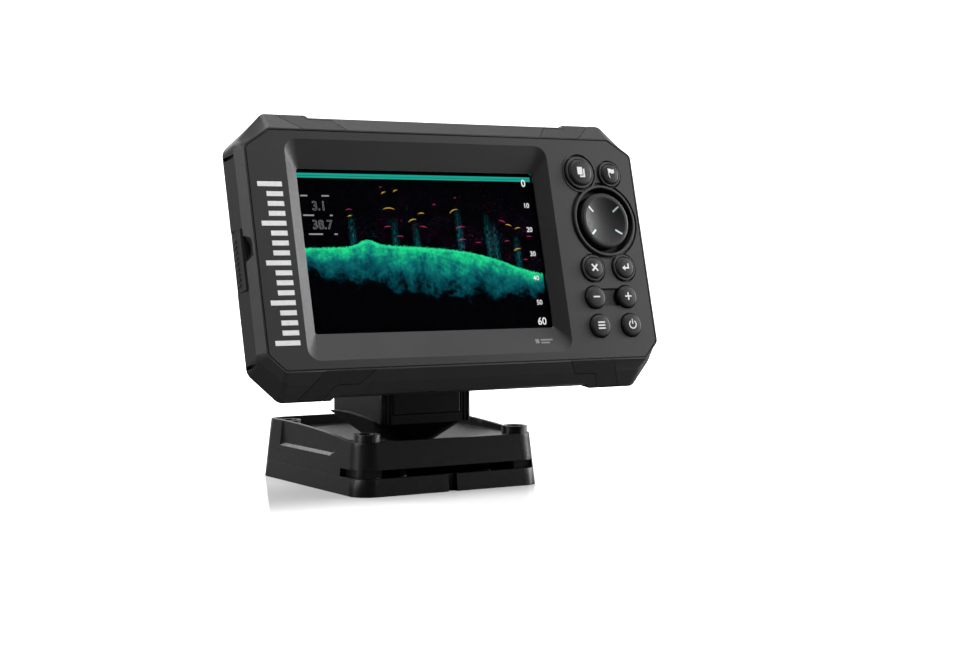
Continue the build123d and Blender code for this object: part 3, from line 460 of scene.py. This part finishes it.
def make_piece(name, outlines, surface, thick, body, material, turn=0.0, middle=(0.0, 0.0)):
    """Thin solid over a surface y(x, z) of the head, from outlines given about a middle point."""
    mesh = bmesh.new()
    for outline in outlines:
        corners = []
        for x, z in outline:
            place = Matrix.Rotation(turn, 2) @ Vector((x, z))
            x, z = place.x + middle[0], place.y + middle[1]
            corners.append(mesh.verts.new((x, surface(x, z), z)))
        mesh.faces.new(corners)
    bmesh.ops.remove_doubles(mesh, verts=mesh.verts, dist=SAME_POINT)
    bmesh.ops.recalc_face_normals(mesh, faces=mesh.faces)
    thicken(mesh, thick)
    bmesh.ops.transform(mesh, matrix=HEAD @ Matrix.Scale(MM, 4), verts=mesh.verts)
    piece = mesh_object(name, mesh, material)
    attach(piece, body)


# ---- symbols on the keys
WHITE_INK = ink_and_painted_shade("white_ink", (0.80, 0.80, 0.80))
SYMBOL_W, THIN_W, CROSS_W = 0.62, 0.5, 0.75
SYMBOLS = {
    "pages_key": [[(-2.0, 2.0), (-2.0, -1.3), (0.45, -1.3), (0.45, 2.0)],
                  [(0.85, 1.2), (0.85, -1.7), (-1.0, -1.7), (-1.0, -2.4), (1.6, -2.4), (1.6, 1.2)]],
    "waypoint_key": [[(-1.5, 2.1), (-1.2, 0.1), (-0.4, 0.35), (0.5, -0.1), (1.6, 0.2), (1.7, 1.9),
                      (0.6, 1.7), (-0.3, 2.15)],
                     [(-1.35, 0.0), (-0.85, -2.1), (-0.55, -2.0), (-1.05, 0.1)]],
    "exit_key": [bar(-1.4, -1.4, 1.4, 1.4, CROSS_W), bar(-1.4, 1.4, -0.27, 0.27, CROSS_W),
                 bar(0.27, -0.27, 1.4, -1.4, CROSS_W)],
    "enter_key": [[(-1.8, -0.4), (-0.3, 0.75), (-0.3, -0.05), (1.0, -0.05), (1.0, 1.4), (1.7, 1.4),
                   (1.7, -0.75), (-0.3, -0.75), (-0.3, -1.55)]],
    "zoom_out_key": [bar(-1.6, 0, 1.6, 0, SYMBOL_W)],
    "zoom_in_key": [bar(-1.6, 0, 1.6, 0, SYMBOL_W), bar(0, SYMBOL_W / 2, 0, 1.6, SYMBOL_W),
                    bar(0, -1.6, 0, -SYMBOL_W / 2, SYMBOL_W)],
    "menu_key": [bar(-1.7, level, 1.7, level, SYMBOL_W) for level in (-1.25, 0.0, 1.25)],
    "power_key": arc(1.65, THIN_W, 125, 415) + [bar(0, 0.2, 0, 2.3, THIN_W)],
}
SYMBOL_LIFT, SYMBOL_THICK = 0.06, 0.16
for key, outlines in SYMBOLS.items():
    x, _, z = in_head(key) / MM
    crown = min((HEAD_BACK @ corner.co).y for corner in frame["nodes"][key].data.vertices) / MM
    make_piece(f"{key}_symbol", outlines, lambda x, z: crown - SYMBOL_LIFT, SYMBOL_THICK, key,
               WHITE_INK, middle=(x, z))

# ---- ticks on the direction pad, and painted shade in its dimples
DISH_R, DISH_CENTRE = 29.6, 32.6      # the pad's hollow front: its radius, and how far forward its centre is
MARK_LIFT = 0.05
pad_x, _, pad_z = in_head("dpad") / MM


def pad_surface(x, z):
    reach = math.hypot(x - pad_x, z - pad_z)
    return -(DISH_CENTRE - math.sqrt(DISH_R ** 2 - reach ** 2)) - MARK_LIFT


tick_ink = ink_and_painted_shade("pad_tick_ink", (0.66, 0.76, 0.82))
TICK_START, TICK_STEP, TICK_W = 6.3, 0.55, 0.75
TICK_STEPS = [(TICK_START + TICK_STEP * i, 0.0) for i in range(7)]
for number, angle in enumerate((38, 142, 218, 322)):
    make_piece(f"dpad_tick_{number}", strip(TICK_STEPS, TICK_W), pad_surface, 0.15, "dpad",
               tick_ink, turn=math.radians(angle), middle=(pad_x, pad_z))
# painted shade: near-black discs stand in for the shade in the pad's two dimples
dimple_painted_shade = ink_and_painted_shade("dimple_painted_shade", (0.004, 0.004, 0.004))
DIMPLE_REACH, DIMPLE_R = 8.6, 0.4
for number, (dx, dz) in enumerate(((-DIMPLE_REACH, 0.0), (0.0, -DIMPLE_REACH))):
    make_piece(f"dpad_dimple_{number}", arc(DIMPLE_R / 2, DIMPLE_R, 0, 360, steps=12), pad_surface, 0.12,
               "dpad", dimple_painted_shade, middle=(pad_x + dx, pad_z + dz))

# ---- plain marks on the bezel: a strip of bars on the left, a short mark under the screen
STRIP_X0, STRIP_X1, STRIP_TOP, STRIP_BOTTOM = -85.6, -75.4, 27.0, -38.0
STRIP_BARS, BAR_W, BAR_INSET = 17, 1.9, 3.4
pitch = (STRIP_TOP - STRIP_BOTTOM) / STRIP_BARS
bars = []
for i in range(STRIP_BARS):
    level = STRIP_TOP - pitch * (i + 0.5)
    inset = 0.0 if i % 4 == 0 else BAR_INSET
    bars.append(bar(STRIP_X0 + inset, level, STRIP_X1, level, BAR_W))
make_piece("bezel_strip", bars, lambda x, z: FACE_Y / MM - MARK_LIFT, 0.2, "head", WHITE_INK)

# the heights of the recess's lower wall at the screen and at the face
SLOPE_IN, SLOPE_OUT = -32.4, -43.2


def lower_slope(x, z):
    """The recess's lower wall, from the screen's edge out to the face."""
    return FACE_Y / MM * (z - SLOPE_IN) / (SLOPE_OUT - SLOPE_IN) - MARK_LIFT


grey_ink = ink_and_painted_shade("grey_ink", (0.16, 0.16, 0.165))
marks = [bar(30.0, -38.2, 31.8, -38.2, 1.8), bar(32.6, -37.7, 38.4, -37.7, 0.7),
         bar(32.6, -38.9, 36.6, -38.9, 0.7)]
make_piece("recess_mark", marks, lower_slope, 0.15, "head", grey_ink)

# ---- screen picture, echoes and scale figures, between the panel and the cover glass, in millimetres
PICTURE_Y = 2.50
PICTURE_MARGIN, PICTURE_THICK = 0.2, 0.07
ECHO_LIFT, LABEL_LIFT, FIGURE_LIFT = 0.03, 0.04, 0.05
OVERLAY_THICK = 0.02


def on_screen(across, up):
    """Head coordinates in millimetres of a place on the screen."""
    return ((SCREEN_X + (across - 0.5) * SCREEN_W) / MM, (up - 0.5) * SCREEN_H / MM)


def make_picture():
    """The lit picture, as a thin plate that fills the screen up to a narrow margin."""
    half_x, half_z = SCREEN_W / 2 - PICTURE_MARGIN * MM, SCREEN_H / 2 - PICTURE_MARGIN * MM
    mesh = bmesh.new()
    bmesh.ops.create_grid(mesh, x_segments=12, y_segments=8, size=1.0)
    for vertex in mesh.verts:
        vertex.co = (vertex.co.x * half_x, 0.0, vertex.co.y * half_z)
    thicken(mesh, PICTURE_THICK * MM)
    picture = mesh_object("sonar_picture", mesh, sonar_picture())
    picture.matrix_world = HEAD @ Matrix.Translation((SCREEN_X, PICTURE_Y * MM, 0))
    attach(picture, "head")


make_picture()

YELLOW, PINK = glow("echo_yellow", (0.78, 0.50, 0.03)), glow("echo_pink", (0.46, 0.03, 0.12))
ECHO_W, ECHO_RISE, ECHO_SWEEP = 0.34, 0.75, 75
# Each echo: across and up the screen, half its width in millimetres, share of the arch on the left, material
ECHOES = [
    (0.36, 0.875, 1.9, 0.9, YELLOW), (0.41, 0.888, 1.8, 0.9, YELLOW), (0.367, 0.775, 4.2, 0.5, YELLOW),
    (0.655, 0.77, 3.8, 0.9, YELLOW), (0.469, 0.705, 3.2, 0.8, YELLOW), (0.50, 0.745, 2.2, 0.5, YELLOW),
    (0.207, 0.725, 1.6, 0.7, YELLOW), (0.868, 0.675, 2.4, 0.3, YELLOW), (0.917, 0.655, 2.2, 0.7, YELLOW),
    (0.908, 0.52, 3.0, 0.8, YELLOW), (0.665, 0.66, 3.6, 0.6, PINK), (0.205, 0.765, 2.4, 0.6, PINK),
    (0.355, 0.66, 2.4, 0.6, PINK), (0.50, 0.66, 2.6, 0.4, PINK), (0.655, 0.845, 0.9, 0.6, PINK),
    (0.84, 0.70, 2.6, 0.2, PINK), (0.96, 0.60, 2.2, 0.5, PINK), (0.93, 0.45, 1.6, 0.5, PINK),
    (0.345, 0.905, 1.0, 0.6, PINK), (0.56, 0.80, 1.2, 0.5, PINK), (0.665, 0.58, 3.0, 0.6, PINK),
    (0.40, 0.60, 2.2, 0.4, PINK), (0.73, 0.56, 2.0, 0.5, PINK), (0.86, 0.57, 2.0, 0.6, PINK),
]
for number, (across, up, half, left, material) in enumerate(ECHOES):
    x, z = on_screen(across, up)
    start, end = 90 - ECHO_SWEEP * (1 - left), 90 + ECHO_SWEEP * left
    outlines = arc(half, ECHO_W, start, end, rise=ECHO_RISE, taper=0.8)
    make_piece(f"echo_{number}", outlines, lambda x, z: PICTURE_Y - ECHO_LIFT, OVERLAY_THICK, "head",
               material, middle=(x, z - ECHO_RISE * half))

FIGURE_WHITE = glow("figure_white", (0.86, 0.86, 0.86), 0.03)
FIGURE_GREY = glow("figure_grey", (0.30, 0.30, 0.31), 0.05)
FONT_PER_DIGIT = 1.42      # the font's size over the height of its digits
FONT_SWELL = 0.012         # how much a stroke is thickened, as a share of the digit's height
OUTLINE_R, FIGURE_THICK = 0.05, 0.008


def make_figure(name, text, across, up, height, material, outline=False):
    """Plain figures on the screen. Height is that of a digit, in millimetres."""
    font = bpy.data.curves.new(name, "FONT")
    font.body = text
    font.size = height * MM * FONT_PER_DIGIT
    font.align_x, font.align_y = "CENTER", "CENTER"
    if outline:
        font.fill_mode = "NONE"
        font.bevel_depth = OUTLINE_R * MM
    else:
        font.offset = FONT_SWELL * height * MM
        font.extrude = FIGURE_THICK * MM
    font.materials.append(material)
    figure = bpy.data.objects.new(name, font)
    x, z = on_screen(across, up)
    place = Matrix.Translation((x * MM, (PICTURE_Y - FIGURE_LIFT) * MM, z * MM))
    figure.matrix_world = HEAD @ place @ Matrix.Rotation(math.radians(90), 4, "X")
    scene.collection.objects.link(figure)
    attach(figure, "head")


SCALE_ACROSS, SCALE_TOP, SCALE_BOTTOM = 0.966, 0.955, 0.012
END_TALL, TALL, READOUT_TALL = 3.0, 2.0, 3.6
for tens in range(7):
    level = SCALE_TOP + (SCALE_BOTTOM - SCALE_TOP) * tens / 6
    tall = END_TALL if tens in (0, 6) else TALL
    shift = -0.012 if tens == 0 else (0.035 if tens == 6 else 0.0)
    make_figure(f"scale_{tens * 10}", str(tens * 10), SCALE_ACROSS, level + shift, tall, FIGURE_WHITE)
make_figure("readout_speed", "3.1", 0.085, 0.78, READOUT_TALL, FIGURE_GREY, outline=True)
make_figure("readout_depth", "38.7", 0.09, 0.665, READOUT_TALL, FIGURE_GREY, outline=True)
# plain bars in place of the readouts' captions, as (across, up, width in millimetres)
LABELS = [(0.03, 0.845, 3.0), (0.115, 0.845, 3.2), (0.04, 0.725, 4.6), (0.13, 0.725, 1.2),
          (0.06, 0.61, 6.0), (0.14, 0.61, 1.4)]
LABEL_W = 0.55
labels = []
for across, up, width in LABELS:
    x, z = on_screen(across, up)
    labels.append(bar(x - width / 2, z, x + width / 2, z, LABEL_W))
make_piece("readout_labels", labels, lambda x, z: PICTURE_Y - LABEL_LIFT, OVERLAY_THICK, "head",
           FIGURE_GREY)

# ---- floor and backdrop: a wide round dish with an upright rim, in metres
INNER_R, FLOOR_R, WALL_R, WALL_H = 0.5, 1.6, 3.2, 3.0
DISH_STEPS, DISH_SIDES = 12, 96
NEAR_GLOW, FAR_GLOW = 0.35, 1.3        # the floor's own light near the object, and far from it
GLOW_START, GLOW_END = 0.10, 0.42      # where it starts to rise, and where it is full
COAT_START, COAT_END = 0.16, 0.40      # the floor's gloss fades out between these distances
BACKDROP_SIDE = (0.52, 0.85, 0.0)      # the side where the backdrop also lights the object
BACKDROP_START, BACKDROP_END = 1.0, 1.8
BOUNCE_GREY = (0.16, 0.16, 0.16)       # the floor as the object sees it, so little light comes from below


def floor_material():
    """Pale floor: glossy near the object, and lit in itself as far as the camera sees it."""
    s = Shader("studio_floor")
    cloud = s.noise(1.5, 3)
    shade = s.mix(cloud, (0.84, 0.84, 0.84), (0.87, 0.87, 0.87))
    s.bsdf.inputs["Specular IOR Level"].default_value = 0.0
    s.bsdf.inputs["Coat Roughness"].default_value = 0.05
    length = s.add("ShaderNodeVectorMath", operation="LENGTH")
    s.feed(length.inputs[0], s.place)
    away = length.outputs["Value"]
    far = s.remap(away, GLOW_START, GLOW_END, NEAR_GLOW, FAR_GLOW, smooth=True)
    seen = s.add("ShaderNodeLightPath").outputs["Is Camera Ray"]
    s.feed(s.bsdf.inputs["Coat Weight"], s.remap(away, COAT_START, COAT_END, 1.0, 0.0, smooth=True))
    behind = s.add("ShaderNodeVectorMath", operation="DOT_PRODUCT")
    s.feed(behind.inputs[0], s.place)
    behind.inputs[1].default_value = BACKDROP_SIDE
    backdrop = s.remap(behind.outputs["Value"], BACKDROP_START, BACKDROP_END, 0, 1, smooth=True)
    lit = s.maths("MAXIMUM", seen, backdrop)
    s.feed(s.bsdf.inputs["Emission Strength"], s.maths("MULTIPLY", far, lit))
    shade = s.mix(seen, BOUNCE_GREY, shade)
    return s.use(Base_Color=shade, Emission_Color=(1, 1, 1, 1), Roughness=0.6)


def make_stage():
    """Floor that curves up into a rim all round."""
    rings = [(INNER_R, 0.0), (FLOOR_R, 0.0)]
    for step in range(1, DISH_STEPS + 1):
        turn = math.radians(90 * step / DISH_STEPS)
        rings.append((FLOOR_R + (WALL_R - FLOOR_R) * math.sin(turn),
                      (WALL_R - FLOOR_R) * (1 - math.cos(turn))))
    rings.append((WALL_R, WALL_H))
    mesh = bmesh.new()
    centre = mesh.verts.new((0, 0, 0))
    turns = [2 * math.pi * i / DISH_SIDES for i in range(DISH_SIDES)]
    loops = []
    for radius, height in rings:
        loops.append([mesh.verts.new((radius * math.cos(turn), radius * math.sin(turn), height))
                      for turn in turns])
    for i in range(DISH_SIDES):
        j = (i + 1) % DISH_SIDES
        mesh.faces.new((centre, loops[0][i], loops[0][j]))
        for low, high in zip(loops, loops[1:]):
            mesh.faces.new((low[i], high[i], high[j], low[j]))
    floor = mesh_object("studio_floor", mesh, floor_material())
    for face in floor.data.polygons:
        face.use_smooth = True


make_stage()


MIDDLE = (cad_low + cad_high) / 2


def softbox(name, place, width, height, power):
    """Rectangular lamp that faces the middle of the object. Sizes in metres, power in watts."""
    lamp = bpy.data.lights.new(name, "AREA")
    lamp.shape = "RECTANGLE"
    lamp.size, lamp.size_y = width, height
    lamp.energy = power
    box = bpy.data.objects.new(name, lamp)
    box.location = place
    box.rotation_euler = (MIDDLE - Vector(place)).to_track_quat("-Z", "Y").to_euler()
    scene.collection.objects.link(box)


softbox("overhead", (0.15, -0.25, 1.5), 0.9, 0.9, 26)
softbox("key_right", (1.45, -0.35, 0.45), 0.5, 0.8, 24)
softbox("front_right", (1.15, -0.95, 0.75), 0.4, 0.5, 4)
softbox("side_left", (-1.3, 0.15, 0.6), 0.4, 0.8, 13)
softbox("rim_back", (-0.4, 1.2, 0.9), 0.9, 0.6, 9)

# the world is white to the camera, and nearly dark to the object
AMBIENT = 0.05
world = bpy.data.worlds.new("studio")
scene.world = world
world.use_nodes = True
background = world.node_tree.nodes["Background"]
path = world.node_tree.nodes.new("ShaderNodeLightPath")
level = world.node_tree.nodes.new("ShaderNodeMapRange")
level.inputs["To Min"].default_value = AMBIENT
world.node_tree.links.new(path.outputs["Is Camera Ray"], level.inputs["Value"])
world.node_tree.links.new(level.outputs[0], background.inputs["Strength"])
background.inputs["Color"].default_value = (1, 1, 1, 1)
scene.view_settings.view_transform = "Standard"

# ---- camera, in metres and degrees
CAMERA_AT = Vector((-0.3812, -0.6821, 0.1004))
CAMERA_YAW, CAMERA_PITCH = 31.59, -2.66
CAMERA_LENS, SENSOR_WIDTH = 70.2, 36.0
lens = bpy.data.cameras.new("camera")
lens.lens = CAMERA_LENS
lens.sensor_width = SENSOR_WIDTH
lens.clip_start = 0.01
camera = bpy.data.objects.new("camera", lens)
camera.location = CAMERA_AT
camera.rotation_euler = (math.radians(90 + CAMERA_PITCH), 0, math.radians(-CAMERA_YAW))
scene.collection.objects.link(camera)
scene.camera = camera
